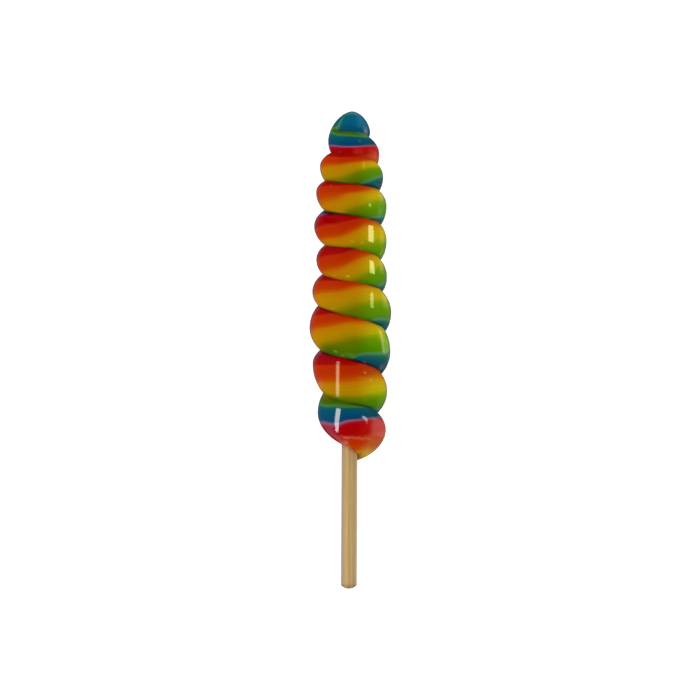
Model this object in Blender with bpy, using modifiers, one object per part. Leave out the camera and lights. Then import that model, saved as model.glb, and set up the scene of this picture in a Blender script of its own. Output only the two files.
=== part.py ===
"""Swirl lollipop: a rope of rainbow candy wound round a wooden stick, lying on its back.

The rope is a left-handed helix of about nine and a half turns. It starts as a rounded tip,
widens towards the stick, and its end tapers off behind the stick. The part lies with its
axis along Y, the tip towards +Y and the shown side up, on two small flats of its back.
"""

import math

import bmesh
import bpy
from mathutils import Matrix

MM = 0.001

# ---- Driving dimensions, in metres unless a comment says otherwise ----
STICK_RADIUS = 2.5 * MM
STICK_TOP = 55.0 * MM  # where the stick begins, measured from the candy's tip
STICK_END = 149.6 * MM  # where the stick ends, measured from the candy's tip
STICK_DOME = 1.1 * MM  # height of the stick's rounded end
STICK_TOP_CHAMFER = 0.5 * MM
STICK_GAP = 0.3 * MM  # clearance between the stick and its socket in the candy
STICK_SIDES = 32
STICK_DOME_STEPS = 4

# The rope's crest, where the candy reaches out furthest, and the groove below it.
# Each row is (turn, distance from the tip in mm, distance from the axis in mm).
# A whole turn faces up, and a quarter turn later faces +X.
CREST = [
    (-0.75, 0.0, 0.0),
    (-0.25, 4.5, 5.6),
    (0.25, 6.6, 6.0),
    (0.75, 9.4, 7.2),
    (1.25, 13.5, 8.9),
    (1.75, 17.6, 9.75),
    (2.25, 20.8, 10.15),
    (2.75, 25.6, 10.9),
    (3.25, 30.1, 11.25),
    (3.75, 36.3, 11.45),
    (4.25, 41.0, 11.3),
    (4.75, 46.9, 10.7),
    (5.25, 52.3, 11.45),
    (5.75, 56.9, 11.9),
    (6.25, 63.6, 12.85),
    (6.75, 68.4, 12.7),
    (7.25, 75.7, 12.6),
    (7.75, 79.6, 11.65),
    (8.25, 88.1, 11.7),
    (8.75, 94.85, 10.0),
    (9.25, 100.2, 11.3),
    (9.45, 103.0, 7.0),
    (9.625, 104.4, 2.3),
]
GROOVE = [
    (-0.75, 0.0, 0.0),
    (-0.25, 6.2, 6.5),
    (0.0, 7.5, 5.9),
    (0.25, 8.4, 5.3),
    (0.75, 13.1, 6.3),
    (1.25, 16.95, 8.2),
    (1.75, 22.05, 8.2),
    (2.0, 24.2, 8.4),
    (2.25, 25.25, 8.75),
    (2.75, 31.4, 8.3),
    (3.0, 34.1, 8.6),
    (3.25, 35.95, 9.2),
    (3.75, 42.35, 8.1),
    (4.0, 44.35, 8.7),
    (4.25, 47.0, 9.2),
    (4.75, 51.5, 8.7),
    (5.0, 54.75, 9.1),
    (5.25, 56.95, 9.85),
    (5.75, 61.3, 10.0),
    (6.0, 65.6, 10.2),
    (6.25, 69.3, 10.8),
    (6.75, 75.25, 9.15),
    (7.0, 78.9, 9.35),
    (7.25, 82.75, 9.5),
    (7.75, 88.7, 8.2),
    (8.0, 92.35, 8.1),
    (8.25, 94.85, 8.2),
    (8.625, 104.4, 2.3),
    (8.75, 104.8, 2.3),
    (9.0, 105.6, 2.3),
    (9.1, 106.8, 2.3),
    (9.17, 107.6, 2.3),
    (9.3, 109.8, 2.3),
    (9.45, 108.4, 2.3),
    (9.625, 104.4, 2.3),
]
FIRST_TURN = CREST[0][0]
LAST_TURN = CREST[-1][0]
GROOVE_FADES_IN = (-0.12, 0.2)  # turns over which the first groove deepens
TIP_ROUNDNESS = 1.7  # exponent of the tip's rounded outline
TIP_LEAN = 0.3 * MM  # how far the tip's point leans to +X
TIP_LEAN_ENDS = 6.0 * MM
UPPER_FULLNESS = math.radians(48)  # arc of the rope's side that faces the tip
LOWER_FULLNESS = math.radians(53)  # arc of the side that faces the stick
LOWER_FULLNESS_SWING = math.radians(4.5)  # fuller at +X, flatter at -X
LAST_FULLNESS = math.radians(6)  # how much fuller the underside of the last coil's end is
LAST_FILLS = (9.2, 9.3)  # turns over which that comes in
FLATNESS = 0.6  # how much flatter the rope is on its front and back than at its sides
FRONT_FILL = 0.4  # how much of the grooves' depth is filled on the front
FILL_ENDS = (8.1, 8.4)  # turns over which that filling stops, below the last coil
FAN_CENTRE = 106.0 * MM  # where the candy's underside closes, inside the stick

SEGMENTS_PER_TURN = 32
SEGMENTS_ACROSS = 10
WELD = 0.01 * MM  # points closer than this are joined

# Two coils carry the part where it lies; each turn here faces straight down.
RESTS_ON_TURNS = (3.5, 6.5)
FLAT_DEPTH = 0.22 * MM
MIDDLE = 74.9 * MM  # distance from the tip to the part's middle, put at Y = 0

CANDY_COLOUR = (0.42, 0.05, 0.01)
CANDY_ROUGHNESS = 0.15
WOOD_COLOUR = (0.52, 0.38, 0.20)
WOOD_ROUGHNESS = 0.6


def clear_scene():
    for thing in list(bpy.data.objects):
        bpy.data.objects.remove(thing, do_unlink=True)


def between(low, high, x):
    """0 below low, 1 above high, with an eased rise in between."""
    part = min(1.0, max(0.0, (x - low) / (high - low)))
    return part * part * (3.0 - 2.0 * part)


def mix(a, b, share):
    return a + (b - a) * share


def slopes(rows, column):
    """Slope of one column at each row, with no overshoot between rows."""
    steps = [b[0] - a[0] for a, b in zip(rows, rows[1:])]
    rises = [(b[column] - a[column]) / h for a, b, h in zip(rows, rows[1:], steps)]
    result = [rises[0]]
    for i in range(1, len(rises)):
        before, after = rises[i - 1], rises[i]
        if before * after <= 0.0:
            result.append(0.0)
            continue
        w_before = 2.0 * steps[i] + steps[i - 1]
        w_after = steps[i] + 2.0 * steps[i - 1]
        result.append((w_before + w_after) / (w_before / before + w_after / after))
    result.append(rises[-1])
    return result


class Track:
    """A smooth curve through rows of (turn, distance from tip, distance from axis)."""

    def __init__(self, rows):
        self.rows = rows
        self.slopes = {column: slopes(rows, column) for column in (1, 2)}

    def value(self, column, turn):
        rows = self.rows
        turn = min(rows[-1][0], max(rows[0][0], turn))
        i = 0
        while i < len(rows) - 2 and turn > rows[i + 1][0]:
            i += 1
        a, b = rows[i], rows[i + 1]
        h = b[0] - a[0]
        x = (turn - a[0]) / h
        lift_a, lift_b = self.slopes[column][i] * h, self.slopes[column][i + 1] * h
        return MM * (
            (1 + 2 * x) * (1 - x) ** 2 * a[column]
            + x * (1 - x) ** 2 * lift_a
            + x * x * (3 - 2 * x) * b[column]
            + x * x * (x - 1) * lift_b
        )

    def place(self, turn):
        return self.value(1, turn)

    def reach(self, turn):
        return self.value(2, turn)


crest = Track(CREST)
groove = Track(GROOVE)


def tip_dome(turn, place):
    """Distance from the axis on the smooth tip, above the crest of this turn."""
    height = crest.place(turn)
    if place >= height:
        return crest.reach(turn)
    left = 1.0 - place / height
    return crest.reach(turn) * (1.0 - left**TIP_ROUNDNESS) ** (1.0 / TIP_ROUNDNESS)


def groove_edge(turn):
    """(distance from tip, distance from axis) of a groove, shallower on the front."""
    if turn < FIRST_TURN:
        return 0.0, 0.0
    reach = groove.reach(turn)
    beside = (crest.reach(turn) + crest.reach(turn + 1.0)) / 2
    front = max(0.0, math.cos(math.tau * turn)) ** 2 * (1.0 - between(*FILL_ENDS, turn))
    return groove.place(turn), mix(reach, beside, FRONT_FILL * front)


def rope_surface(turn, across):
    """(distance from tip, distance from axis) of the rope's outer side.

    across runs from 0 at the groove nearer the tip, over 0.5 at the crest,
    to 1 at the groove nearer the stick.
    """
    upper = across < 0.5
    edge_place, edge_reach = groove_edge(turn - 1.0 if upper else turn)
    swing = LOWER_FULLNESS_SWING * math.sin(math.tau * turn)
    last = LAST_FULLNESS * between(*LAST_FILLS, turn)
    full = UPPER_FULLNESS if upper else LOWER_FULLNESS + swing + last
    angle = abs(2.0 * across - 1.0) * full
    along = math.sin(angle) / math.sin(full)
    flatter = FLATNESS * math.cos(math.tau * turn) ** 2
    inward = ((1.0 - math.cos(angle)) / (1.0 - math.cos(full))) ** (1.0 + flatter)
    place = mix(crest.place(turn), edge_place, along)
    reach = mix(crest.reach(turn), edge_reach, inward)
    if upper:
        reach = mix(tip_dome(turn, place), reach, between(*GROOVE_FADES_IN, turn - 1.0))
    own = between(*GROOVE_FADES_IN, turn)
    if own < 1.0:
        reach = mix(tip_dome(turn + 1.0, place), reach, own)
    return place, reach


def rope_point(turn, across):
    """A point of the rope's outer side, with the tip at the origin and the axis along -Y."""
    place, reach = rope_surface(turn, across)
    around = math.tau * turn
    lean = TIP_LEAN * max(0.0, 1.0 - place / TIP_LEAN_ENDS) ** 2
    return (reach * math.sin(around) + lean, -place, reach * math.cos(around))


def resting_place():
    """The matrix that lays the part down on the two coils it rests on."""
    (near, near_reach), (far, far_reach) = (
        (crest.place(turn), crest.reach(turn)) for turn in RESTS_ON_TURNS
    )
    tilt = math.atan2(far_reach - near_reach, far - near)
    height = near_reach * math.cos(tilt) - near * math.sin(tilt) - FLAT_DEPTH
    move = Matrix.Translation((0.0, MIDDLE * math.cos(tilt), height))
    return move @ Matrix.Rotation(-tilt, 4, "X")


def material(name, colour, roughness):
    """A plain finish of one colour."""
    finish = bpy.data.materials.new(name)
    finish.use_nodes = True
    shader = finish.node_tree.nodes["Principled BSDF"]
    shader.inputs["Base Color"].default_value = (*colour, 1.0)
    shader.inputs["Roughness"].default_value = roughness
    shader.inputs["Metallic"].default_value = 0.0
    finish.diffuse_color = (*colour, 1.0)
    return finish


def collection(name):
    group = bpy.data.collections.new(name)
    bpy.context.scene.collection.children.link(group)
    return group


def add_object(name, mesh, group, placed):
    thing = bpy.data.objects.new(name, mesh)
    thing.matrix_world = placed
    group.objects.link(thing)
    return thing


def candy_mesh():
    """The solid rope: a grid wrapped along the helix and closed inside the stick."""
    turns = LAST_TURN - FIRST_TURN
    columns = round(turns * SEGMENTS_PER_TURN)
    bm = bmesh.new()
    bmesh.ops.create_grid(
        bm, x_segments=columns, y_segments=SEGMENTS_ACROSS, size=0.5
    )
    for vertex in bm.verts:
        turn = FIRST_TURN + (vertex.co.x + 0.5) * turns
        vertex.co = rope_point(turn, vertex.co.y + 0.5)
    bmesh.ops.remove_doubles(bm, verts=bm.verts, dist=WELD)
    bmesh.ops.dissolve_degenerate(bm, edges=bm.edges, dist=WELD)
    rim = [edge for edge in bm.edges if edge.is_boundary]
    inner = bmesh.ops.extrude_edge_only(bm, edges=rim)["geom"]
    fan = [item for item in inner if isinstance(item, bmesh.types.BMVert)]
    bmesh.ops.pointmerge(bm, verts=fan, merge_co=(0.0, -FAN_CENTRE, 0.0))
    bmesh.ops.recalc_face_normals(bm, faces=bm.faces)
    mesh = bpy.data.meshes.new("candy")
    bm.to_mesh(mesh)
    bm.free()
    mesh.shade_smooth()
    return mesh


def cutter_cylinder(name, radius, start, end, group, placed):
    """A cylinder along the axis, from one distance from the tip to another."""
    bm = bmesh.new()
    bmesh.ops.create_cone(
        bm,
        cap_ends=True,
        segments=STICK_SIDES,
        radius1=radius,
        radius2=radius,
        depth=end - start,
    )
    lie = Matrix.Translation((0.0, -(start + end) / 2, 0.0)) @ Matrix.Rotation(
        math.pi / 2, 4, "X"
    )
    bmesh.ops.transform(bm, matrix=lie, verts=bm.verts)
    mesh = bpy.data.meshes.new(name)
    bm.to_mesh(mesh)
    bm.free()
    return as_cutter(add_object(name, mesh, group, placed))


def ground_block(name, group):
    """A block whose top is the ground, to give the candy its flats."""
    size = 2 * STICK_END
    bm = bmesh.new()
    bmesh.ops.create_cube(bm, size=size)
    bmesh.ops.translate(bm, verts=bm.verts, vec=(0.0, 0.0, -size / 2))
    mesh = bpy.data.meshes.new(name)
    bm.to_mesh(mesh)
    bm.free()
    return as_cutter(add_object(name, mesh, group, Matrix.Identity(4)))


def as_cutter(thing):
    thing.hide_render = True
    thing.display_type = "WIRE"
    return thing


def cut(thing, cutter):
    modifier = thing.modifiers.new(f"cut by {cutter.name}", "BOOLEAN")
    modifier.operation = "DIFFERENCE"
    modifier.solver = "EXACT"
    modifier.object = cutter


def build_candy(parts, cutters, placed):
    candy = add_object("candy", candy_mesh(), parts, placed)
    candy.data.materials.append(material("candy", CANDY_COLOUR, CANDY_ROUGHNESS))
    socket = cutter_cylinder(
        "socket",
        STICK_RADIUS + STICK_GAP,
        STICK_TOP - STICK_GAP,
        STICK_END,
        cutters,
        placed,
    )
    cut(candy, socket)
    cut(candy, ground_block("ground", cutters))
    return candy


def stick_profile():
    """Outline of the stick at +X, from its hidden end down to its rounded end."""
    length = STICK_END - STICK_TOP
    dome_radius = (STICK_RADIUS**2 + STICK_DOME**2) / (2 * STICK_DOME)
    dome_arc = math.asin(STICK_RADIUS / dome_radius)
    outline = [
        (0.0, 0.0),
        (STICK_RADIUS - STICK_TOP_CHAMFER, 0.0),
        (STICK_RADIUS, -STICK_TOP_CHAMFER),
    ]
    for i in range(STICK_DOME_STEPS + 1):
        angle = dome_arc * (1 - i / STICK_DOME_STEPS)
        across = dome_radius * math.sin(angle)
        outline.append((across, -length + dome_radius * (1 - math.cos(angle))))
    return outline


def build_stick(parts, placed):
    outline = stick_profile()
    mesh = bpy.data.meshes.new("stick")
    points = [(x, 0.0, z) for x, z in outline]
    edges = [(i, i + 1) for i in range(len(points) - 1)]
    mesh.from_pydata(points, edges, [])
    lie = Matrix.Translation((0.0, -STICK_TOP, 0.0)) @ Matrix.Rotation(
        -math.pi / 2, 4, "X"
    )
    stick = add_object("stick", mesh, parts, placed @ lie)
    turned = stick.modifiers.new("turned", "SCREW")
    turned.axis = "Z"
    turned.steps = STICK_SIDES
    turned.render_steps = STICK_SIDES
    turned.use_merge_vertices = True
    turned.merge_threshold = WELD
    turned.use_smooth_shade = True
    stick.data.materials.append(material("wood", WOOD_COLOUR, WOOD_ROUGHNESS))
    return stick


def main():
    clear_scene()
    parts = collection("swirl_lollipop")
    cutters = collection("cutters")
    placed = resting_place()
    build_candy(parts, cutters, placed)
    build_stick(parts, placed)


main()
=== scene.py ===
"""Looks of the swirl lollipop: striped pulled sugar, a bare wooden stick, a white table."""

import math

import bmesh
import bpy
from mathutils import Matrix, Vector


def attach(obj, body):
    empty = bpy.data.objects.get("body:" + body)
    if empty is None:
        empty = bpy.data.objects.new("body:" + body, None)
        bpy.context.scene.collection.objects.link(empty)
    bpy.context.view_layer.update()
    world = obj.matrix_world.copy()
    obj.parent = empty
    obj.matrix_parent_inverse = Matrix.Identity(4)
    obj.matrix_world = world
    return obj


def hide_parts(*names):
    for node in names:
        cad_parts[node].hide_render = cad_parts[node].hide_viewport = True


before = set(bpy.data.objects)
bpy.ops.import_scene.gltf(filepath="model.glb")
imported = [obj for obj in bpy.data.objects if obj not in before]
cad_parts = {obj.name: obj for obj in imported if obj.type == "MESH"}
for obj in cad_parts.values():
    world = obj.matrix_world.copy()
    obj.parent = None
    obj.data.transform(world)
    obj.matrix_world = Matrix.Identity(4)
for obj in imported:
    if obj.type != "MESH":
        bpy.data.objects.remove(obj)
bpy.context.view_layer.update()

MM = 0.001

# ---- Sizes of the lollipop, the same as the CAD part's ----

STICK_RADIUS = 2.5 * MM
STICK_TOP = 55.0 * MM  # where the stick begins, measured from the candy's tip
STICK_END = 149.6 * MM  # where the stick ends, measured from the candy's tip
STICK_DOME = 1.1 * MM  # height of the stick's rounded end
STICK_TOP_CHAMFER = 0.5 * MM

# The rope's crest, where the candy reaches out furthest, and the groove below it.
# Each row is (turn, distance from the tip in mm, distance from the axis in mm).
# A whole turn faces up, and a quarter turn later faces +X.
CREST = [
    (-0.75, 0.0, 0.0),
    (-0.25, 4.5, 5.6),
    (0.25, 6.6, 6.0),
    (0.75, 9.4, 7.2),
    (1.25, 13.5, 8.9),
    (1.75, 17.6, 9.75),
    (2.25, 20.8, 10.15),
    (2.75, 25.6, 10.9),
    (3.25, 30.1, 11.25),
    (3.75, 36.3, 11.45),
    (4.25, 41.0, 11.3),
    (4.75, 46.9, 10.7),
    (5.25, 52.3, 11.45),
    (5.75, 56.9, 11.9),
    (6.25, 63.6, 12.85),
    (6.75, 68.4, 12.7),
    (7.25, 75.7, 12.6),
    (7.75, 79.6, 11.65),
    (8.25, 88.1, 11.7),
    (8.75, 94.85, 10.0),
    (9.25, 100.2, 11.3),
    (9.45, 103.0, 7.0),
    (9.625, 104.4, 2.3),
]
GROOVE = [
    (-0.75, 0.0, 0.0),
    (-0.25, 6.2, 6.5),
    (0.0, 7.5, 5.9),
    (0.25, 8.4, 5.3),
    (0.75, 13.1, 6.3),
    (1.25, 16.95, 8.2),
    (1.75, 22.05, 8.2),
    (2.0, 24.2, 8.4),
    (2.25, 25.25, 8.75),
    (2.75, 31.4, 8.3),
    (3.0, 34.1, 8.6),
    (3.25, 35.95, 9.2),
    (3.75, 42.35, 8.1),
    (4.0, 44.35, 8.7),
    (4.25, 47.0, 9.2),
    (4.75, 51.5, 8.7),
    (5.0, 54.75, 9.1),
    (5.25, 56.95, 9.85),
    (5.75, 61.3, 10.0),
    (6.0, 65.6, 10.2),
    (6.25, 69.3, 10.8),
    (6.75, 75.25, 9.15),
    (7.0, 78.9, 9.35),
    (7.25, 82.75, 9.5),
    (7.75, 88.7, 8.2),
    (8.0, 92.35, 8.1),
    (8.25, 94.85, 8.2),
    (8.625, 104.4, 2.3),
    (8.75, 104.8, 2.3),
    (9.0, 105.6, 2.3),
    (9.1, 106.8, 2.3),
    (9.17, 107.6, 2.3),
    (9.3, 109.8, 2.3),
    (9.45, 108.4, 2.3),
    (9.625, 104.4, 2.3),
]
FIRST_TURN = CREST[0][0]
LAST_TURN = CREST[-1][0]

# How the rope curves between its crest and its grooves.
GROOVE_FADES_IN = (-0.12, 0.2)  # turns over which the first groove deepens
TIP_ROUNDNESS = 1.7  # exponent of the tip's rounded outline
TIP_LEAN = 0.3 * MM  # how far the tip's point leans to +X
TIP_LEAN_ENDS = 6.0 * MM  # distance from the tip where that lean has run out
UPPER_FULLNESS = math.radians(48)  # arc of the rope's side that faces the tip
LOWER_FULLNESS = math.radians(53)  # arc of the side that faces the stick
LOWER_FULLNESS_SWING = math.radians(4.5)  # fuller at +X, flatter at -X
LAST_FULLNESS = math.radians(6)  # how much fuller the underside of the last coil's end is
LAST_FILLS = (9.2, 9.3)  # turns over which that comes in
FLATNESS = 0.6  # how much flatter the rope is on its front and back than at its sides
FRONT_FILL = 0.4  # how much of the grooves' depth is filled on the front
FILL_ENDS = (8.1, 8.4)  # turns over which that filling stops, below the last coil
FAN_CENTRE = 106.0 * MM  # where the candy's underside closes, inside the stick
RESTS_ON_TURNS = (3.5, 6.5)  # the two places where the rope lies on the table
FLAT_DEPTH = 0.22 * MM  # how deep the flats at those two places are
MIDDLE = 74.9 * MM  # distance from the tip to the part's middle, put at Y = 0

# ---- The stripes ----
# Five colours lie side by side in the rope and repeat: red, orange, yellow, green, blue.
# Each row says which stripe lies at the groove above, at the crest and at the groove below,
# counted in stripes along the whole rope, so a whole number is a border between two colours.
STRIPES = [
    (-0.75, 4.0, 4.0, 4.0),
    (-0.25, 4.2, 4.15, 4.1),
    (-0.17, 4.2, 4.15, 3.6),
    (-0.125, 4.1, 4.06, 3.5),
    (-0.105, 4.0, 3.98, 3.9),
    (-0.085, 4.1, 4.1, 4.2),
    (-0.05, 4.15, 4.25, 4.2),
    (0.05, 4.2, 4.4, 4.1),
    (0.15, 4.2, 4.45, 4.3),
    (0.25, 4.3, 4.6, 4.7),
    (0.75, 3.8, 4.6, 5.6),
    (0.85, 3.75, 4.62, 5.9),
    (0.88, 3.6, 4.62, 5.9),
    (0.93, 3.45, 4.57, 5.9),
    (1.0, 3.4, 4.66, 6.0),
    (1.06, 3.3, 4.88, 6.1),
    (1.1, 3.4, 5.1, 6.4),
    (1.15, 3.9, 5.3, 6.8),
    (1.5, 4.9, 6.2, 7.2),
    (1.85, 5.5, 7.03, 8.0),
    (1.94, 5.3, 7.15, 8.2),
    (2.0, 5.4, 7.5, 8.4),
    (2.06, 5.9, 7.9, 9.03),
    (2.15, 6.65, 8.55, 9.5),
    (2.85, 10.4, 11.6, 12.5),
    (2.93, 10.5, 11.75, 12.8),
    (3.0, 10.7, 12.15, 13.4),
    (3.06, 11.1, 12.5, 13.75),
    (3.15, 11.9, 13.0, 14.2),
    (3.85, 14.85, 16.05, 17.6),
    (3.95, 15.2, 16.4, 17.75),
    (4.02, 15.5, 16.95, 18.15),
    (4.07, 16.1, 17.45, 18.2),
    (4.15, 16.7, 17.7, 18.65),
    (4.25, 17.1, 17.95, 18.9),
    (4.85, 20.1, 21.3, 22.35),
    (4.95, 20.25, 21.7, 22.6),
    (5.02, 21.0, 22.25, 23.1),
    (5.1, 21.6, 22.88, 23.8),
    (5.15, 22.0, 23.2, 24.0),
    (5.85, 25.45, 27.0, 27.6),
    (5.95, 25.85, 27.3, 28.1),
    (6.02, 26.5, 27.7, 28.45),
    (6.15, 27.1, 28.25, 29.4),
    (6.2, 27.4, 28.4, 29.6),
    (6.85, 30.4, 32.12, 33.35),
    (6.9, 30.75, 32.34, 33.8),
    (6.95, 31.1, 32.6, 33.88),
    (7.0, 31.45, 32.89, 33.95),
    (7.04, 31.65, 33.08, 34.37),
    (7.085, 31.9, 33.3, 34.72),
    (7.15, 32.3, 33.58, 34.88),
    (7.25, 33.2, 34.2, 34.95),
    (7.85, 35.2, 36.15, 38.35),
    (8.0, 35.55, 36.7, 38.5),
    (8.06, 35.98, 36.98, 38.72),
    (8.15, 36.4, 37.47, 38.95),
    (8.78, 38.05, 39.6, 41.0),
    (8.85, 38.0, 39.68, 41.0),
    (8.93, 38.5, 39.69, 41.15),
    (9.0, 38.6, 39.95, 42.0),
    (9.06, 38.8, 40.2, 41.95),
    (9.15, 39.25, 40.6, 42.2),
    (9.625, 42.0, 43.0, 44.0),
]
COLOURS_IN_THE_ROPE = 5

# ---- The glaze ----
# It is dull where the rope faces up, and turns smooth between these turns to each side.
DULL_FRONT = (0.16, 0.2)
# Smooth places in that dull front, each in mm towards +X and in shares across the rope:
# (turns from, to, mm from, to, mm the place leans to +X across the rope, across from, to, glaze).
SMOOTH_PLACES = [
    (4.02, 4.16, 5.5, 7.15, 0.3, 0.28, 0.71, 1.0),
    (5.02, 5.16, 5.98, 7.55, 0.3, 0.28, 0.61, 1.0),
    (6.02, 6.16, 6.2, 7.2, 0.0, 0.24, 0.61, 0.65),
    (7.08, 7.3, 9.75, 20.0, 2.0, 0.18, 0.62, 0.9),
    (7.85, 8.02, -4.2, -3.3, -0.3, 0.18, 0.91, 0.36),
    (8.85, 9.02, -4.5, -3.15, -1.6, 0.25, 0.73, 1.0),
]
EVERYWHERE = 20.0 * MM  # further to each side than the candy reaches, so no limit at all
LIMIT_MARGIN = 0.02  # turns by which a smooth place's limits reach beyond it
SMOOTH_EDGE = 0.02  # half the soft edge of a smooth place, in shares across the rope
LIMIT_EDGE = 0.16 * MM  # half its soft edge towards -X and +X

# ---- Painted shade in the grooves, and painted light ----
# The shade painted into the grooves, beyond their own shadow: (turn, darkness).
GROOVE_SHADE = [
    (-0.2, 0.0),
    (-0.05, 0.35),
    (0.02, 0.3),
    (0.06, 0.0),
    (1.7, 0.0),
    (1.8, 0.6),
    (1.9, 0.48),
    (2.0, 0.38),
    (2.05, 0.6),
    (2.1, 0.72),
    (2.14, 0.6),
    (2.3, 0.1),
    (2.75, 0.7),
    (2.84, 0.86),
    (2.92, 0.8),
    (3.0, 0.52),
    (3.05, 0.38),
    (3.09, 0.25),
    (3.12, 0.6),
    (3.17, 0.1),
    (3.5, 0.4),
    (3.8, 0.55),
    (3.88, 0.25),
    (3.95, 0.2),
    (4.0, 0.55),
    (4.04, 0.05),
    (4.08, 0.05),
    (4.12, 0.3),
    (4.18, 0.2),
    (4.3, 0.1),
    (4.5, 0.4),
    (4.8, 0.5),
    (4.87, 0.5),
    (4.93, 0.15),
    (5.07, 0.0),
    (5.1, 0.48),
    (5.14, 0.65),
    (5.2, 0.2),
    (5.5, 0.4),
    (5.9, 0.65),
    (5.95, 0.4),
    (5.98, 0.15),
    (6.01, 0.35),
    (6.05, 0.1),
    (6.1, 0.6),
    (6.13, 0.65),
    (6.2, 0.05),
    (6.5, 0.4),
    (6.8, 0.75),
    (6.9, 0.6),
    (6.96, 0.3),
    (7.0, 0.85),
    (7.04, 0.92),
    (7.08, 0.78),
    (7.15, 0.6),
    (7.5, 0.4),
    (7.8, 0.2),
    (7.98, 0.12),
    (8.03, 0.55),
    (8.12, 0.57),
    (8.2, 0.3),
    (8.3, 0.0),
    (8.8, 0.0),
    (9.0, 0.5),
    (9.15, 0.4),
    (9.22, 0.8),
    (9.27, 0.85),
    (9.4, 0.8),
    (9.625, 0.0),
]
GROOVE_SHADE_WIDTH = 0.9 * MM  # how far the painted shade beside a groove reaches
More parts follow.
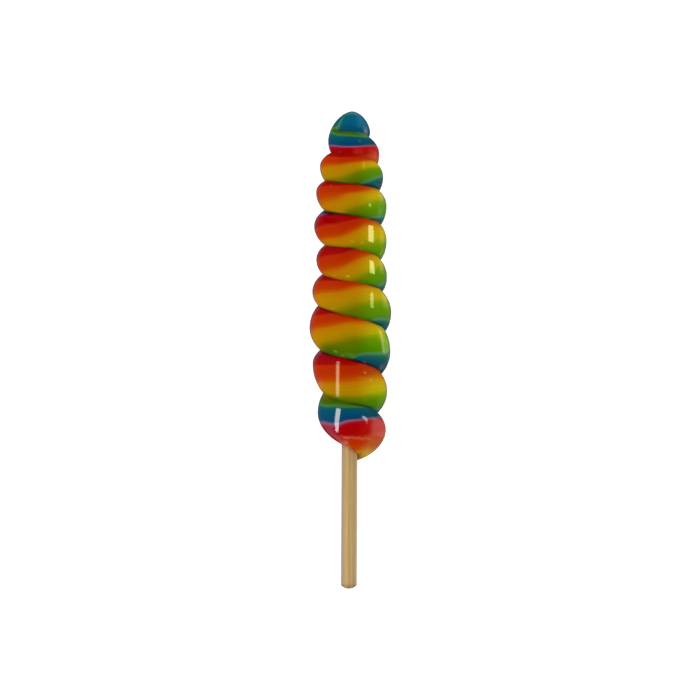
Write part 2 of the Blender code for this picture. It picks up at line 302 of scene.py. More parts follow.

# Painted light on the sugar: painted sheen, reflections and glints, and some patches that only
# shift
# its colour: (middle turn, half length in turns, middle across, half width across, share of the
# patch that is soft edge, light added to the colour). Light below zero is painted shade.
PAINTED_LIGHT = [
    # Where turn 0 faces up.
    (-0.11, 0.03, 0.45, 0.4, 0.9, (0.025, 0.045, 0.045)),
    (-0.01, 0.13, 0.3, 0.35, 0.9, (0.0, 0.035, 0.035)),
    (0.0, 0.3, 0.1, 0.1, 0.8, (0.05, 0.065, 0.03)),
    (0.11, 0.09, 0.3, 0.35, 1.0, (0.014, 0.065, 0.085)),
    (0.142, 0.045, 0.7, 0.32, 0.9, (0.13, 0.12, 0.12)),
    (0.15, 0.05, 0.98, 0.1, 0.8, (0.0, -0.08, -0.12)),
    (0.17, 0.05, 0.95, 0.12, 0.8, (0.12, 0.06, 0.05)),
    # Where turn 1 faces up.
    (0.923, 0.012, 0.91, 0.03, 0.8, (0.2, 0.02, 0.02)),
    (0.97, 0.12, 0.05, 0.1, 0.9, (-0.035, -0.035, 0.012)),
    (1.031, 0.012, 0.83, 0.03, 0.8, (0.14, 0.02, 0.02)),
    (1.045, 0.05, 0.75, 0.25, 0.9, (0.07, 0.01, 0.006)),
    (1.05, 0.06, 0.06, 0.1, 0.9, (-0.045, -0.02, 0.03)),
    (1.054, 0.012, 0.37, 0.06, 0.8, (0.02, 0.05, 0.04)),
    (1.11, 0.03, 0.12, 0.14, 0.8, (0.03, 0.0, 0.02)),
    (1.11, 0.012, 0.77, 0.03, 0.8, (0.12, 0.02, 0.02)),
    (1.14, 0.03, 0.03, 0.06, 0.8, (-0.01, -0.07, -0.01)),
    (1.17, 0.07, 0.75, 0.3, 0.8, (0.07, 0.03, 0.02)),
    # Where turn 2 faces up.
    (1.96, 0.05, 0.93, 0.03, 0.8, (0.03, 0.08, 0.02)),
    (2.066, 0.012, 0.36, 0.18, 0.7, (0.09, 0.09, 0.01)),
    (2.17, 0.04, 0.88, 0.1, 0.9, (0.012, 0.035, 0.0)),
    # Where turn 3 faces up.
    (2.898, 0.01, 0.19, 0.03, 0.8, (0.14, 0.03, 0.03)),
    (2.95, 0.05, 0.93, 0.03, 0.8, (0.03, 0.08, 0.02)),
    (3.091, 0.008, 0.66, 0.05, 0.6, (0.25, 0.3, 0.05)),
    (3.14, 0.03, 0.1, 0.1, 0.9, (-0.15, -0.06, 0.01)),
    (3.165, 0.035, 0.75, 0.18, 0.9, (0.025, 0.06, 0.03)),
    (3.168, 0.03, 0.38, 0.25, 1.0, (0.08, 0.07, 0.05)),
    # Where turn 4 faces up.
    (3.815, 0.03, 0.0, 0.06, 0.8, (0.11, 0.01, -0.04)),
    (3.86, 0.06, 0.05, 0.1, 0.8, (-0.16, -0.04, -0.06)),
    (3.9, 0.06, 0.3, 0.15, 0.9, (-0.04, -0.004, -0.004)),
    (3.905, 0.045, 0.04, 0.06, 0.8, (-0.2, 0.0, -0.06)),
    (4.007, 0.01, 0.79, 0.03, 0.8, (0.09, 0.1, 0.01)),
    (4.053, 0.01, 0.78, 0.03, 0.8, (0.13, 0.11, 0.01)),
    (4.053, 0.01, 0.97, 0.03, 0.8, (0.13, 0.07, 0.01)),
    (4.15, 0.03, 0.16, 0.1, 0.9, (-0.06, -0.05, 0.0)),
    (4.168, 0.03, 0.5, 0.28, 1.0, (0.16, 0.06, 0.015)),
    (4.2, 0.03, 0.85, 0.15, 0.9, (0.1, 0.05, 0.02)),
    # Where turn 5 faces up.
    (4.92, 0.01, 0.89, 0.03, 0.8, (0.25, 0.08, 0.02)),
    (4.989, 0.012, 0.83, 0.04, 0.8, (0.16, 0.2, 0.03)),
    (5.17, 0.03, 0.33, 0.26, 1.0, (0.19, 0.08, 0.045)),
    # Where turn 6 faces up.
    (5.923, 0.01, 0.87, 0.03, 0.8, (0.1, 0.08, 0.02)),
    (6.1, 0.03, 0.94, 0.06, 0.8, (-0.01, -0.02, -0.05)),
    (6.17, 0.035, 0.33, 0.25, 1.0, (0.16, 0.12, 0.05)),
    # Where turn 7 faces up.
    (6.938, 0.01, 0.87, 0.035, 0.8, (0.16, 0.17, 0.04)),
    (6.968, 0.01, 0.93, 0.03, 0.8, (0.13, 0.08, 0.03)),
    (7.0, 0.03, 0.88, 0.06, 0.8, (0.02, 0.05, 0.01)),
    (7.069, 0.01, 0.98, 0.03, 0.8, (0.3, 0.1, 0.15)),
    (7.09, 0.07, 0.66, 0.14, 0.9, (-0.015, 0.0, -0.035)),
    (7.146, 0.03, 0.08, 0.1, 0.9, (-0.18, 0.0, 0.03)),
    (7.15, 0.04, 0.26, 0.22, 0.9, (0.14, 0.12, 0.0)),
    (7.185, 0.035, 0.44, 0.28, 0.9, (0.12, 0.18, 0.02)),
    (7.19, 0.03, 0.93, 0.12, 0.9, (0.07, 0.05, 0.02)),
    (7.25, 0.06, 0.45, 0.4, 1.0, (0.05, 0.06, 0.01)),
    # Where turn 8 faces up.
    (7.84, 0.03, 0.78, 0.15, 0.9, (0.0, 0.0, 0.035)),
    (7.947, 0.011, 0.58, 0.4, 0.6, (0.12, 0.12, 0.0)),
    (8.066, 0.008, 0.33, 0.05, 0.8, (0.2, 0.1, 0.02)),
    (8.094, 0.008, 0.47, 0.05, 0.8, (0.16, 0.09, 0.02)),
    (8.12, 0.06, 0.82, 0.15, 0.9, (-0.03, -0.05, 0.0)),
    # Where turn 9 faces up.
    (8.88, 0.055, 0.74, 0.14, 0.8, (0.0, 0.028, 0.035)),
    (8.91, 0.03, 0.97, 0.07, 0.8, (0.06, 0.17, 0.13)),
    (8.92, 0.05, 0.86, 0.1, 0.9, (0.03, 0.05, 0.05)),
    (8.955, 0.045, 0.96, 0.07, 0.9, (0.01, 0.08, 0.07)),
    (8.97, 0.03, 0.91, 0.06, 0.8, (0.01, 0.06, 0.05)),
    (8.975, 0.03, 0.82, 0.03, 0.8, (0.16, 0.05, 0.045)),
    (8.98, 0.027, 0.81, 0.025, 0.5, (0.05, 0.03, 0.03)),
    (9.02, 0.027, 0.795, 0.025, 0.5, (0.05, 0.05, 0.03)),
    (9.06, 0.027, 0.775, 0.025, 0.5, (0.08, 0.05, 0.03)),
    (9.066, 0.011, 0.38, 0.045, 0.6, (0.3, 0.4, 0.46)),
    (9.076, 0.008, 0.435, 0.04, 0.6, (0.4, 0.3, 0.32)),
    (9.077, 0.008, 0.39, 0.04, 0.8, (0.15, 0.17, 0.2)),
    (9.081, 0.007, 0.5, 0.03, 0.8, (0.14, 0.08, 0.08)),
    (9.1, 0.027, 0.75, 0.025, 0.5, (0.04, 0.05, 0.03)),
    (9.15, 0.04, 0.31, 0.08, 0.9, (-0.12, 0.02, 0.04)),
    (9.2, 0.11, 0.5, 0.2, 0.35, (0.065, 0.055, 0.05)),
    (9.2, 0.12, 0.8, 0.15, 0.5, (0.01, 0.03, 0.014)),
    (9.2, 0.06, 0.91, 0.08, 0.8, (0.0, 0.04, 0.02)),
    (9.225, 0.06, 0.985, 0.05, 0.8, (-0.2, -0.1, 0.01)),
]
# Painted sheen all along the rope's -X side: a little less red, a little more green and blue.
PAINTED_LIGHT += [(turn + 0.75, 0.1, 0.5, 0.6, 1.0, (-0.06, 0.022, 0.016)) for turn in range(1, 8)]

# ---- How finely the pieces are modelled ----
SEGMENTS_PER_TURN = 160
SEGMENTS_ACROSS = 48
STICK_SIDES = 64
STICK_RINGS = 40
STICK_DOME_RINGS = 10
WELD = 0.01 * MM  # points closer together than this are merged
SLIVER = 0.005 * MM  # edges shorter than this are taken out

# ---- Camera ----
SENSOR = 36.0  # mm
LENS = 131.66  # mm
CAMERA_DISTANCE = 0.8  # metres
LOOKS_AT = 75.27 * MM  # distance from the tip to the point at the middle of the view
SEEN_FROM_BELOW = math.radians(4.0)  # the camera stands a little towards the stick's end
ROLL = math.radians(0.286)  # the camera is turned a little about its line of sight


# ---- The rope's shape, and what its finish needs to know ----


def between(low, high, x):
    """0 below low, 1 above high, with an eased rise in between."""
    part = min(1.0, max(0.0, (x - low) / (high - low)))
    return part * part * (3.0 - 2.0 * part)


def mix(a, b, share):
    """A value between a and b: a where the share is 0, b where it is 1."""
    return a + (b - a) * share


class Track:
    """Smooth curves through rows of (turn, value, value, ...), with no overshoot between rows."""

    def __init__(self, rows, scale=1.0):
        self.rows = rows
        self.scale = scale
        self.slopes = [self.find_slopes(column) for column in range(1, len(rows[0]))]
        self.known = {}

    def find_slopes(self, column):
        """One column's slope at each row: level where it turns back, so nothing overshoots."""
        rows = self.rows
        steps = [b[0] - a[0] for a, b in zip(rows, rows[1:])]
        rises = [(b[column] - a[column]) / h for a, b, h in zip(rows, rows[1:], steps)]
        slopes = [rises[0]]
        for i in range(1, len(rises)):
            before, after = rises[i - 1], rises[i]
            if before * after <= 0.0:
                slopes.append(0.0)
                continue
            w_before = 2.0 * steps[i] + steps[i - 1]
            w_after = steps[i] + 2.0 * steps[i - 1]
            slopes.append((w_before + w_after) / (w_before / before + w_after / after))
        slopes.append(rises[-1])
        return slopes

    def values(self, turn):
        """Every column's value at a turn."""
        if turn not in self.known:
            self.known[turn] = self.work_out(turn)
        return self.known[turn]

    def work_out(self, turn):
        """Every column's value on the cubic curve between the two rows round a turn."""
        rows = self.rows
        turn = min(rows[-1][0], max(rows[0][0], turn))
        i = 0
        while i < len(rows) - 2 and turn > rows[i + 1][0]:
            i += 1
        a, b = rows[i], rows[i + 1]
        h = b[0] - a[0]
        x = (turn - a[0]) / h
        at_a = (1 + 2 * x) * (1 - x) ** 2
        at_b = x * x * (3 - 2 * x)
        lift_a = x * (1 - x) ** 2 * h
        lift_b = x * x * (x - 1) * h
        return [
            self.scale
            * (at_a * a[k + 1] + lift_a * slope[i] + at_b * b[k + 1] + lift_b * slope[i + 1])
            for k, slope in enumerate(self.slopes)
        ]


crest = Track(CREST, MM)
groove = Track(GROOVE, MM)
stripes = Track(STRIPES)
groove_shade_track = Track(GROOVE_SHADE)


def tip_dome(turn, place):
    """Distance from the axis on the smooth tip, above the crest of this turn."""
    height, reach = crest.values(turn)
    if place >= height:
        return reach
    left = 1.0 - place / height
    return reach * (1.0 - left**TIP_ROUNDNESS) ** (1.0 / TIP_ROUNDNESS)


def groove_edge(turn):
    """(distance from tip, distance from axis) of a groove, shallower on the front."""
    if turn < FIRST_TURN:
        return 0.0, 0.0
    place, reach = groove.values(turn)
    beside = (crest.values(turn)[1] + crest.values(turn + 1.0)[1]) / 2
    front = max(0.0, math.cos(math.tau * turn)) ** 2 * (1.0 - between(*FILL_ENDS, turn))
    return place, mix(reach, beside, FRONT_FILL * front)


def rope_surface(turn, across):
    """(distance from tip, distance from axis) of the rope's outer side.

    across runs from 0 at the groove nearer the tip, over 0.5 at the crest,
    to 1 at the groove nearer the stick.
    """
    upper = across < 0.5
    edge_place, edge_reach = groove_edge(turn - 1.0 if upper else turn)
    crest_place, crest_reach = crest.values(turn)
    swing = LOWER_FULLNESS_SWING * math.sin(math.tau * turn)
    last = LAST_FULLNESS * between(*LAST_FILLS, turn)
    full = UPPER_FULLNESS if upper else LOWER_FULLNESS + swing + last
    angle = abs(2.0 * across - 1.0) * full
    along = math.sin(angle) / math.sin(full)
    flatter = FLATNESS * math.cos(math.tau * turn) ** 2
    inward = ((1.0 - math.cos(angle)) / (1.0 - math.cos(full))) ** (1.0 + flatter)
    place = mix(crest_place, edge_place, along)
    reach = mix(crest_reach, edge_reach, inward)
    if upper:
        reach = mix(tip_dome(turn, place), reach, between(*GROOVE_FADES_IN, turn - 1.0))
    own = between(*GROOVE_FADES_IN, turn)
    if own < 1.0:
        reach = mix(tip_dome(turn + 1.0, place), reach, own)
    return place, reach


def rope_point(turn, across):
    """A point of the rope's outer side, with the tip at the origin and the axis along -Y."""
    place, reach = rope_surface(turn, across)
    around = math.tau * turn
    lean = TIP_LEAN * max(0.0, 1.0 - place / TIP_LEAN_ENDS) ** 2
    return (reach * math.sin(around) + lean, -place, reach * math.cos(around))


def stripe_at(turn, across):
    """Which stripe lies here: the parabola through the values at the grooves and the crest."""
    above, middle, below = stripes.values(turn)
    return (
        above * (1.0 - across) * (1.0 - 2.0 * across)
        + middle * 4.0 * across * (1.0 - across)
        + below * across * (2.0 * across - 1.0)
    )


def groove_shade_at(turn, across):
    """How much shade is painted beside a groove here, from 0 to 1."""
    lower = across > 0.5
    place, reach = rope_surface(turn, across)
    edge_place, edge_reach = rope_surface(turn, 1.0 if lower else 0.0)
    away = math.hypot(place - edge_place, reach - edge_reach)
    darkness = groove_shade_track.values(turn if lower else turn - 1.0)[0]
    return darkness * (1.0 - between(0.0, GROOVE_SHADE_WIDTH, away))


def glaze_at(turn, across):
    """How smooth the glaze is here, and between which places towards +X."""
    glaze = between(*DULL_FRONT, abs(turn - round(turn)))
    for first, last, left, right, lean, upper, lower, strength in SMOOTH_PLACES:
        if first - LIMIT_MARGIN < turn < last + LIMIT_MARGIN:
            begins = between(upper - SMOOTH_EDGE, upper + SMOOTH_EDGE, across)
            ends = between(lower - SMOOTH_EDGE, lower + SMOOTH_EDGE, across)
            shift = lean * (across - 0.5)
            inside = strength * begins * (1.0 - ends) if first < turn < last else 0.0
            return max(glaze, inside), (left + shift) * MM, (right + shift) * MM
    return glaze, -EVERYWHERE, EVERYWHERE


def painted_light_at(turn, across):
    """The painted light, sheen, reflections and glints, added to the sugar's colour here."""
    light = Vector((0.0, 0.0, 0.0))
    for middle, length, row, width, edge, colour in PAINTED_LIGHT:
        off = max(abs(turn - middle) / length, abs(across - row) / width)
        if off < 1.0:
            light += Vector(colour) * (1.0 - between(1.0 - edge, 1.0, off))
    return light


# What the sugar's finish needs to know about each point, apart from its painted light.
# One layer holds the shade painted beside the grooves.
FINISH_LAYERS = ("stripe", "turn", "groove_shade", "glaze", "smooth_from", "smooth_to")


def finish_at(turn, across):
    """The value of each of the FINISH_LAYERS here."""
    return (stripe_at(turn, across), turn, groove_shade_at(turn, across), *glaze_at(turn, across))


def resting_place():
    """The matrix that lays the lollipop down on the two coils it rests on."""
    (near, near_reach), (far, far_reach) = (crest.values(turn) for turn in RESTS_ON_TURNS)
    tilt = math.atan2(far_reach - near_reach, far - near)
    height = near_reach * math.cos(tilt) - near * math.sin(tilt) - FLAT_DEPTH
    move = Matrix.Translation((0.0, MIDDLE * math.cos(tilt), height))
    return move @ Matrix.Rotation(-tilt, 4, "X")


placed = resting_place()


# ---- Materials ----


class Wire:
    """An output socket that can stand in a sum: every operator adds a Math node."""

    def __init__(self, bench, socket):
        self.bench = bench
        self.socket = socket

    def sum(self, operation, *values):
        """A Math node on wires or plain numbers."""
        node = self.bench.add("ShaderNodeMath", {"operation": operation}, dict(enumerate(values)))
        return Wire(self.bench, node.outputs[0])

    def __add__(self, other):
        return self.sum("ADD", self, other)

    def __sub__(self, other):
        return self.sum("SUBTRACT", self, other)

    def __rsub__(self, other):
        return self.sum("SUBTRACT", other, self)

    def __mul__(self, other):
        return self.sum("MULTIPLY", self, other)

    def __truediv__(self, other):
        return self.sum("DIVIDE", self, other)

    def fraction(self):
        """What is left of a value past the last whole number."""
        return self.sum("FRACT", self)

    def clamped(self):
        """A value kept between 0 and 1."""
        return self.sum("MINIMUM", self.sum("MAXIMUM", self, 0.0), 1.0)


class Bench:
    """A node tree, built up by short calls."""

    def __init__(self, tree):
        self.tree = tree

    def feed(self, socket, value):
        """Links a wire to a socket, or sets the socket to a plain value."""
        if isinstance(value, Wire):
            self.tree.links.new(value.socket, socket)
        elif isinstance(value, tuple) and len(value) == 3 and socket.type == "RGBA":
            socket.default_value = (*value, 1.0)
        else:
            socket.default_value = value

    def add(self, kind, settings=None, sockets=None):
        """A node of any kind: its settings come first, then its sockets' values or links."""
        node = self.tree.nodes.new(kind)
        for name, value in (settings or {}).items():
            if name == "stops":
                self.set_stops(node.color_ramp, value)
            else:
                setattr(node, name, value)
        for key, value in (sockets or {}).items():
            self.feed(node.inputs[key], value)
        return node

    def ramp(self, share, stops):
        """The colour that rows of (position, colour) give for a share from 0 to 1."""
        return self.wire(self.add("ShaderNodeValToRGB", {"stops": stops}, {"Fac": share}))

    def set_stops(self, ramp, stops):
        """Gives a colour ramp its rows of (position, colour)."""
        while len(ramp.elements) > 1:
            ramp.elements.remove(ramp.elements[-1])
        for i, (position, colour) in enumerate(stops):
            stop = ramp.elements[0] if i == 0 else ramp.elements.new(position)
            stop.position = position
            stop.color = (*colour, 1.0)

    def wire(self, node, output=0):
        """A node's output, ready for sums."""
        return Wire(self, node.outputs[output])

    def attribute(self, name, output="Fac"):
        """What one of the mesh's layers says here."""
        node = self.add("ShaderNodeAttribute", {"attribute_name": name})
        return self.wire(node, output)

    def noise(self, x, y, z, detail=2.0, roughness=0.5):
        """Soft noise from 0 to 1, with about one blot for each unit of x, y and z."""
        place = self.point(x, y, z)
        sockets = {"Vector": place, "Scale": 1.0, "Detail": detail, "Roughness": roughness}
        return self.wire(self.add("ShaderNodeTexNoise", None, sockets))

    def point(self, x, y, z):
        """Three values as one vector, or as the red, green and blue of a colour."""
        return self.wire(self.add("ShaderNodeCombineXYZ", None, {0: x, 1: y, 2: z}))

    def blend(self, factor, a, b, how="MIX"):
        """Two colours mixed by a factor."""
        settings = {"data_type": "RGBA", "blend_type": how, "clamp_result": True}
        node = self.add("ShaderNodeMix", settings, {0: factor, 6: a, 7: b})
        return self.wire(node, 2)

    def bump(self, height, distance, strength):
        """A normal that makes the surface look raised where the height is 1."""
        sockets = {"Height": height, "Distance": distance, "Strength": strength}
        return self.wire(self.add("ShaderNodeBump", None, sockets))

    def rise(self, value, low, high):
        """0 where the value is below low, 1 above high, eased in between."""
        settings = {"interpolation_type": "SMOOTHSTEP"}
        node = self.add("ShaderNodeMapRange", settings, {0: value, 1: low, 2: high})
        return self.wire(node)

    def distance(self, a, b):
        """How far apart two values are."""
        return a.sum("ABSOLUTE", a - b)

    def scaled(self, colour, factor):
        """A colour made paler or darker by a factor."""
        settings = {"operation": "SCALE"}
        sockets = {"Vector": colour, "Scale": factor}
        return self.wire(self.add("ShaderNodeVectorMath", settings, sockets))


class Finish(Bench):
    """One material and its shader."""

    def __init__(self, name):
        self.material = bpy.data.materials.new(name)
        self.material.use_nodes = True
        super().__init__(self.material.node_tree)
        self.shader = self.tree.nodes["Principled BSDF"]

    def place(self):
        """Where a point lies on the object, towards +X, +Y and +Z."""
        place = self.wire(self.add("ShaderNodeTexCoord"), "Object")
        parts = self.add("ShaderNodeSeparateXYZ", None, {0: place})
        return [self.wire(parts, i) for i in range(3)]

    def look(self, **sockets):
        """Sets the shader's sockets, named in words joined by underscores."""
        for name, value in sockets.items():
            self.feed(self.shader.inputs[name.replace("_", " ")], value)


def srgb(red, green, blue):
    """A colour given as it shows on a screen, 0 to 255, as linear light."""

    def linear(value):
        share = value / 255.0
        if share <= 0.04045:
            return share / 12.92
        return ((share + 0.055) / 1.055) ** 2.4

    return (linear(red), linear(green), linear(blue))


# The colours across one repeat of the rope, by stripe number from 0 to 5. Red and blue meet
# in a pale pink line, and blue and green in a pale green one; the others melt together.
# Each row gives the look on the rope's -X side, on its front and back, and on its +X side. The
# -X and +X looks are the front's colours as lit from those sides, with painted light and shade:
# paler and yellower at +X, pinker and a little darker at -X.
SUGAR_COLOURS = [
    (0.00, srgb(140, 90, 122), srgb(150, 92, 124), srgb(132, 86, 96)),
    (0.08, srgb(152, 60, 84), srgb(160, 46, 66), srgb(158, 60, 64)),
    (0.16, srgb(156, 24, 52), srgb(162, 8, 22), srgb(168, 34, 38)),
    (0.30, srgb(154, 12, 34), srgb(164, 0, 6), srgb(172, 22, 22)),
    (0.50, srgb(154, 12, 18), srgb(170, 0, 4), srgb(176, 20, 18)),
    (0.92, srgb(162, 14, 8), srgb(158, 12, 2), srgb(176, 26, 12)),
    (1.03, srgb(172, 32, 10), srgb(172, 33, 7), srgb(180, 48, 16)),
    (1.10, srgb(184, 44, 13), srgb(179, 39, 9), srgb(182, 56, 16)),
    (1.28, srgb(183, 45, 7), srgb(178, 39, 3), srgb(176, 58, 14)),
    (1.60, srgb(182, 50, 3), srgb(180, 46, 1), srgb(174, 66, 13)),
    (1.82, srgb(183, 62, 1), srgb(182, 60, 0), srgb(180, 88, 14)),
    (1.97, srgb(185, 88, 3), srgb(186, 88, 2), srgb(184, 114, 14)),
    (2.08, srgb(187, 106, 5), srgb(188, 108, 4), srgb(188, 132, 14)),
    (2.22, srgb(187, 120, 5), srgb(187, 122, 3), srgb(191, 146, 14)),
    (2.50, srgb(182, 129, 3), srgb(180, 130, 1), srgb(189, 160, 13)),
    (2.78, srgb(172, 130, 3), srgb(163, 130, 2), srgb(174, 164, 13)),
    (2.92, srgb(154, 124, 4), srgb(142, 125, 2), srgb(144, 156, 8)),
    (3.03, srgb(134, 118, 5), srgb(120, 119, 0), srgb(121, 150, 6)),
    (3.15, srgb(114, 108, 6), srgb(102, 114, 0), srgb(106, 145, 5)),
    (3.32, srgb(88, 100, 6), srgb(89, 114, 1), srgb(95, 140, 5)),
    (3.60, srgb(66, 101, 3), srgb(76, 108, 0), srgb(86, 136, 9)),
    (3.80, srgb(60, 108, 18), srgb(68, 108, 16), srgb(76, 128, 30)),
    (3.90, srgb(66, 122, 56), srgb(64, 120, 58), srgb(84, 132, 80)),
    (3.98, srgb(62, 120, 82), srgb(52, 112, 80), srgb(76, 128, 96)),
    (4.07, srgb(34, 96, 92), srgb(14, 84, 82), srgb(40, 102, 86)),
    (4.22, srgb(14, 86, 98), srgb(7, 80, 106), srgb(24, 88, 84)),
    (4.50, srgb(9, 80, 108), srgb(4, 74, 111), srgb(18, 76, 90)),
    (4.84, srgb(12, 72, 108), srgb(3, 64, 103), srgb(30, 68, 90)),
    (4.93, srgb(44, 74, 106), srgb(48, 66, 100), srgb(76, 80, 94)),
    (5.00, srgb(140, 90, 122), srgb(150, 92, 124), srgb(132, 86, 96)),
]
LEFT_PAINTED_LIGHT = (-5.5 * MM, -1.0 * MM)  # the painted light of the -X look fades out over these places
RIGHT_PAINTED_LIGHT = (1.0 * MM, 8.0 * MM)  # and the painted light of the +X look fades in over these
STREAKS = (3.0, 14.0)  # how often the fine streaks change, in a turn and across a stripe
STREAK_SHADE = 0.32  # how far apart the palest and the darkest streak are
STREAK_HEIGHT = 0.02 * MM
WANDER = (5.0, 0.5)  # how often a stripe's border wanders, in a turn and across a stripe
WANDER_SPOT = 7.0  # another part of the noise than the streaks'
BORDER_WANDERS = 0.16  # how far a border wanders, in stripes
BORDER_FRAYS = 0.08  # how far the streaks fray it, in stripes

# ---- The wood ----
FIBRES = (1800.0, 28.0)  # fine fibres in a metre, across the stick and along it
BANDS = (420.0, 9.0)  # broader pale and dark bands
FIBRE_SHARE = 0.45  # how much of the wood's tone is fibres, the rest being bands
FIBRE_HEIGHT = 0.03 * MM
WOOD_TONES = [
    (0.30, srgb(172, 138, 84)),
    (0.48, srgb(188, 155, 100)),
    (0.62, srgb(200, 169, 114)),
]
SHADED_SIDES = (0.9 * MM, 2.3 * MM)  # painted shade: the wood turns grey between these distances to each side
SIDE_SHADE_SHARE = 0.75
SIDE_SHADE_WOOD = srgb(172, 156, 134)
# Darker and paler lines along the grain: (mm towards +X, half width in mm, darkness).
GRAIN_LINES = [
    (-1.9, 1.1, 0.15),
    (-0.5, 0.45, -0.04),
    (0.0, 0.35, 0.17),
    (0.75, 0.35, -0.02),
    (1.6, 0.8, 0.25),
]
GRAIN_BENDS = 60.0  # how often those lines bend in a metre
GRAIN_BEND = 0.5 * MM  # how far a line strays from one side to the other
# Painted shade: the wood is darker near its bare end, from the first to the second distance from
# the middle.
END_SHADE = (72.6 * MM, 73.9 * MM)
END_SHADE_SHARE = 0.3
# Painted shade with an orange tint on the wood just below the candy, whose edge crosses the stick
# at a slant.
CANDY_SHADE = srgb(186, 88, 36)
CANDY_SHADE_SHARE = 0.6
CANDY_SHADE_WIDTH = 1.4 * MM
CANDY_EDGE = 31.0 * MM  # where the candy's edge crosses the stick's middle
CANDY_EDGE_SLOPE = 0.58


def pulled_sugar():
    """Glossy boiled sugar, pulled into stripes with fine streaks along them, and painted light and
    shade.
    """
    sugar = Finish("pulled_sugar")
    stripe = sugar.attribute("stripe")
    turn = sugar.attribute("turn")
    to_right = sugar.place()[0]
    streaks = sugar.noise(turn * STREAKS[0], stripe * STREAKS[1], 0.0, detail=3.0, roughness=0.6)
    wander = sugar.noise(turn * WANDER[0], stripe * WANDER[1], WANDER_SPOT)
    moved = stripe + (wander - 0.5) * BORDER_WANDERS + (streaks - 0.5) * BORDER_FRAYS
    share = (moved / COLOURS_IN_THE_ROPE).fraction()
    left, front, right = (
        sugar.ramp(share, [(row[0] / COLOURS_IN_THE_ROPE, row[side]) for row in SUGAR_COLOURS])
        for side in (1, 2, 3)
    )
    # The -X and +X looks carry painted light and shade from those sides.
    colour = sugar.blend(sugar.rise(to_right, *LEFT_PAINTED_LIGHT), left, front)
    colour = sugar.blend(sugar.rise(to_right, *RIGHT_PAINTED_LIGHT), colour, right)
    # Painted light: sheen, reflections and glints added to the colour, and painted shade where it
    # is below zero.
    colour = sugar.blend(1.0, colour, sugar.attribute("painted_light", "Vector"), "ADD")
    # Painted shade darkens the sugar beside the grooves; the streaks are the sugar's own paler and
    # darker lines.
    shade = ((streaks - 0.5) * STREAK_SHADE + 1.0) * (1.0 - sugar.attribute("groove_shade"))
    smooth_from = (to_right - sugar.attribute("smooth_from")) / (2 * LIMIT_EDGE) + 0.5
    smooth_to = (sugar.attribute("smooth_to") - to_right) / (2 * LIMIT_EDGE) + 0.5
    sugar.look(
        Base_Color=sugar.scaled(colour, shade),
        Roughness=0.35,
        Specular_IOR_Level=0.0,
        Coat_Weight=sugar.attribute("glaze") * smooth_from.clamped() * smooth_to.clamped(),
        Coat_Roughness=0.05,
        Normal=sugar.bump(streaks, STREAK_HEIGHT, strength=0.3),
    )
    return sugar.material


def bare_wood():
    """Pale round stick of birch, its grain along it, with painted shade on its sides, its end and
    below the candy.
    """
    wood = Finish("bare_wood")
    x, y, z = wood.place()
    fibre = wood.noise(x * FIBRES[0], y * FIBRES[1], z * FIBRES[0], detail=3.0, roughness=0.6)
    bands = wood.noise(x * BANDS[0], y * BANDS[1], z * BANDS[0])
    tone = (fibre * FIBRE_SHARE + bands * (1.0 - FIBRE_SHARE)).clamped()
    # Painted shade: the round stick turns greyer towards its sides.
    side = wood.rise(wood.distance(x, 0.0), *SHADED_SIDES)
    colour = wood.blend(side * SIDE_SHADE_SHARE, wood.ramp(tone, WOOD_TONES), SIDE_SHADE_WOOD)
    bent = x + (wood.noise(0.0, y * GRAIN_BENDS, 0.0) - 0.5) * GRAIN_BEND
    shade = 1.0
    for middle, half_width, darkness in GRAIN_LINES:
        near = 1.0 - wood.rise(wood.distance(bent, middle * MM), 0.0, half_width * MM)
        shade = shade - near * darkness
    from_middle = 0.0 - y
    # Painted shade, darker towards the stick's bare end.
    shade = shade - wood.rise(from_middle, *END_SHADE) * END_SHADE_SHARE
    # Painted shade with an orange tint, just below the candy's slanted edge.
    below_candy = from_middle - x * CANDY_EDGE_SLOPE - CANDY_EDGE
    shaded_by_candy = (1.0 - wood.rise(below_candy, 0.0, CANDY_SHADE_WIDTH)) * CANDY_SHADE_SHARE
    colour = wood.blend(shaded_by_candy, colour, CANDY_SHADE)
    wood.look(
        Base_Color=wood.scaled(colour, shade),
        Roughness=0.6,
        Specular_IOR_Level=0.3,
        Normal=wood.bump(fibre, FIBRE_HEIGHT, strength=0.5),
    )
    return wood.material


def white_table():
    """Matt white table top that glows, so that it stays white beside the candy."""
    table = Finish("white_table")
    table.look(
        Base_Color=srgb(250, 250, 250),
        Roughness=0.9,
        Specular_IOR_Level=0.0,
        Emission_Color=(1.0, 1.0, 1.0),
        Emission_Strength=0.6,
    )
    return table.material


# ---- Pieces ----


def add_piece(name, mesh, node, material):
    """Puts a mesh with its material in the scene, in place of a CAD node."""
    piece = bpy.data.objects.new(name, mesh)
    bpy.context.scene.collection.objects.link(piece)
    mesh.materials.append(material)
    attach(piece, "root")
    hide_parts(node)


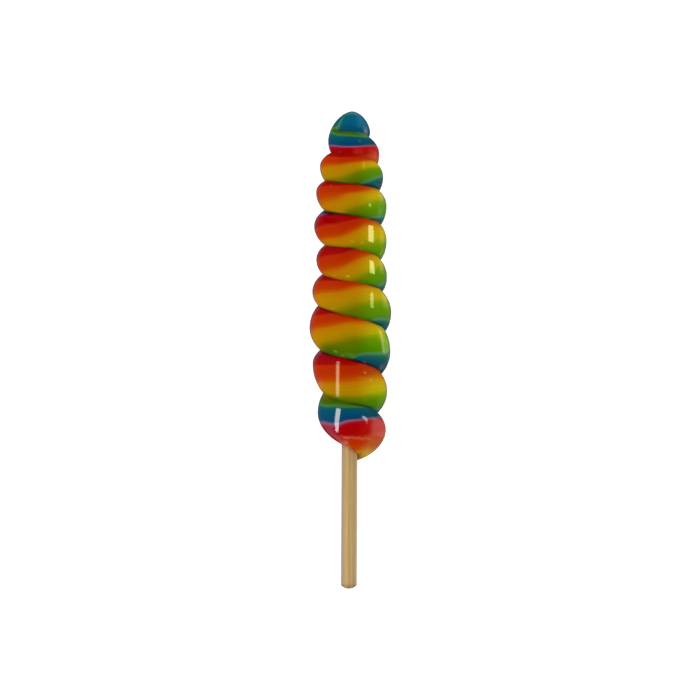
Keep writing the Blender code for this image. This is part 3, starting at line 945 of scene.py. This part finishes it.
def candy_mesh():
    """The rope: a grid wrapped along the helix, closed inside the stick, flat where it rests."""
    turns = LAST_TURN - FIRST_TURN
    columns = round(turns * SEGMENTS_PER_TURN)
    bm = bmesh.new()
    bmesh.ops.create_grid(bm, x_segments=columns, y_segments=SEGMENTS_ACROSS, size=0.5)
    for name in FINISH_LAYERS:
        bm.loops.layers.float.new(name)
    # Painted light on each corner: sheen, reflections and glints, and some painted shade.
    painted_light = bm.loops.layers.float_vector.new("painted_light")
    # A new layer can move the ones before it, so these are looked up once all are there.
    layers = [bm.loops.layers.float[name] for name in FINISH_LAYERS]
    for vertex in bm.verts:
        turn = FIRST_TURN + (vertex.co.x + 0.5) * turns
        across = vertex.co.y + 0.5
        values = finish_at(turn, across)
        light = painted_light_at(turn, across)
        for corner in vertex.link_loops:
            corner[painted_light] = light
            for layer, value in zip(layers, values):
                corner[layer] = value
        vertex.co = rope_point(turn, across)
    bmesh.ops.remove_doubles(bm, verts=bm.verts, dist=WELD)
    bmesh.ops.dissolve_degenerate(bm, edges=bm.edges, dist=SLIVER)
    rim = [edge for edge in bm.edges if edge.is_boundary]
    inner = bmesh.ops.extrude_edge_only(bm, edges=rim)["geom"]
    fan = [item for item in inner if isinstance(item, bmesh.types.BMVert)]
    bmesh.ops.pointmerge(bm, verts=fan, merge_co=(0.0, -FAN_CENTRE, 0.0))
    bmesh.ops.transform(bm, matrix=placed, verts=bm.verts)
    for vertex in bm.verts:
        vertex.co.z = max(0.0, vertex.co.z)
    bmesh.ops.recalc_face_normals(bm, faces=bm.faces)
    mesh = bpy.data.meshes.new("candy_rope")
    bm.to_mesh(mesh)
    bm.free()
    mesh.shade_smooth()
    return mesh


def stick_outline():
    """Outline of the stick at +X, from its hidden end to its rounded end, along -Y."""
    dome_radius = (STICK_RADIUS**2 + STICK_DOME**2) / (2 * STICK_DOME)
    dome_arc = math.asin(STICK_RADIUS / dome_radius)
    outline = [(0.0, STICK_TOP), (STICK_RADIUS - STICK_TOP_CHAMFER, STICK_TOP)]
    start, end = STICK_TOP + STICK_TOP_CHAMFER, STICK_END - STICK_DOME
    for i in range(STICK_RINGS + 1):
        outline.append((STICK_RADIUS, mix(start, end, i / STICK_RINGS)))
    for i in range(1, STICK_DOME_RINGS + 1):
        angle = dome_arc * (1 - i / STICK_DOME_RINGS)
        depth = dome_radius * (1 - math.cos(angle))
        outline.append((dome_radius * math.sin(angle), STICK_END - depth))
    return outline


def stick_mesh():
    """The stick: its outline spun round the rope's axis."""
    bm = bmesh.new()
    points = [bm.verts.new((x, -place, 0.0)) for x, place in stick_outline()]
    edges = [bm.edges.new(pair) for pair in zip(points, points[1:])]
    bmesh.ops.spin(
        bm,
        geom=points + edges,
        cent=(0.0, 0.0, 0.0),
        axis=(0.0, 1.0, 0.0),
        angle=math.tau,
        steps=STICK_SIDES,
        use_merge=True,
    )
    bmesh.ops.remove_doubles(bm, verts=bm.verts, dist=WELD)
    bmesh.ops.transform(bm, matrix=placed, verts=bm.verts)
    bmesh.ops.recalc_face_normals(bm, faces=bm.faces)
    mesh = bpy.data.meshes.new("wooden_stick")
    bm.to_mesh(mesh)
    bm.free()
    mesh.shade_smooth()
    return mesh


# ---- Table, light and camera ----
TABLE_SIZE = 3.0  # metres
SOFT_BOX_END = 2.0  # the soft edge at each end of a soft box, in degrees


def add_table():
    """The white table. The lollipop neither mirrors it nor takes light from it."""
    bm = bmesh.new()
    bmesh.ops.create_grid(bm, x_segments=1, y_segments=1, size=TABLE_SIZE / 2)
    mesh = bpy.data.meshes.new("table")
    bm.to_mesh(mesh)
    bm.free()
    table = bpy.data.objects.new("table", mesh)
    bpy.context.scene.collection.objects.link(table)
    mesh.materials.append(white_table())
    table.visible_glossy = False
    table.visible_diffuse = False


class SoftBox:
    """A long soft box in the room, bowed so that its mirror image on a coil is straight.

    Directions are in degrees: around the rope from straight up towards +X, and towards the tip.
    """

    def __init__(self, around, half_width, edge, low, high, bow, bow_at, light):
        self.around = around  # the box's middle
        self.half_width = half_width
        self.edge = edge  # half the soft edge at each side
        self.low = low
        self.high = high
        self.bow = bow  # how far the box is bent away from the top ...
        self.bow_at = bow_at  # ... at this many degrees towards the tip
        self.light = light  # how much red, green and blue light it gives

    def mirrored(self, room, around, rising):
        """How much of the box lies in a direction."""
        share = (rising / self.bow_at).clamped()
        middle = share * share * share * self.bow + self.around
        aside = room.distance(around, middle)
        side = room.rise(aside, self.half_width - self.edge, self.half_width + self.edge)
        lower = room.rise(rising, self.low, self.low + SOFT_BOX_END)
        upper = room.rise(rising, self.high - SOFT_BOX_END, self.high)
        return (1.0 - side) * lower * (1.0 - upper)


SOFT_BOXES = [
    SoftBox(69.0, 12.5, 0.5, -22.0, 42.0, 24.0, 36.0, (9.8, 9.7, 3.8)),
    SoftBox(-46.0, 18.0, 0.5, -60.0, 75.0, -34.0, -46.0, (11.0, 10.9, 10.2)),
    SoftBox(109.0, 9.0, 5.0, -8.0, 40.0, 16.0, 28.0, (2.6, 2.4, 1.0)),
]
ROOM_TOP = 1.0  # light from straight above
ROOM_SIDES = 1.5  # light from the sides and from the table
GLOSS_LOW = 0.12  # what the gloss sees near the horizon and below it
GLOSS_LOW_FADES = (-0.1, 0.6)  # how far up a direction points where that fades out


def add_room():
    """Soft white light from all round. The gloss sees a dim room with the soft boxes instead."""
    world = bpy.data.worlds.new("room")
    bpy.context.scene.world = world
    world.use_nodes = True
    world.cycles.sampling_method = "NONE"
    tree = world.node_tree
    tree.nodes.clear()
    room = Bench(tree)
    facing = room.wire(room.add("ShaderNodeTexCoord"), "Generated")
    parts = room.add("ShaderNodeSeparateXYZ", None, {0: facing})
    right, along, up = (room.wire(parts, i) for i in range(3))
    side = 1.0 - room.rise(up, 0.0, 1.0)
    brightness = side * (ROOM_SIDES - ROOM_TOP) + ROOM_TOP
    soft_light = room.wire(room.add("ShaderNodeBackground", None, {1: brightness}))
    around = right.sum("ARCTAN2", right, up) * math.degrees(1.0)
    rising = along.sum("ARCSINE", along) * math.degrees(1.0)
    low = 1.0 - room.rise(up, *GLOSS_LOW_FADES)
    colours = [low * GLOSS_LOW] * 3
    for box in SOFT_BOXES:
        share = box.mirrored(room, around, rising)
        colours = [colour + share * light for colour, light in zip(colours, box.light)]
    mirrored = room.wire(room.add("ShaderNodeBackground", None, {0: room.point(*colours), 1: 1.0}))
    glossy = room.wire(room.add("ShaderNodeLightPath"), "Is Glossy Ray")
    both = room.add("ShaderNodeMixShader", None, {0: glossy, 1: soft_light, 2: mirrored})
    room.add("ShaderNodeOutputWorld", None, {0: room.wire(both)})


def add_camera():
    """A camera above the rope, turned and leaned with it."""
    data = bpy.data.cameras.new("camera")
    data.sensor_width = SENSOR
    data.lens = LENS
    camera = bpy.data.objects.new("camera", data)
    bpy.context.scene.collection.objects.link(camera)
    camera.matrix_world = (
        placed
        @ Matrix.Translation((0.0, -LOOKS_AT, 0.0))
        @ Matrix.Rotation(SEEN_FROM_BELOW, 4, "X")
        @ Matrix.Translation((0.0, 0.0, CAMERA_DISTANCE))
        @ Matrix.Rotation(ROLL, 4, "Z")
    )
    bpy.context.scene.camera = camera


add_piece("candy_rope", candy_mesh(), "candy", pulled_sugar())
add_piece("wooden_stick", stick_mesh(), "stick", bare_wood())
add_table()
add_room()
add_camera()
bpy.context.scene.view_settings.view_transform = "Standard"
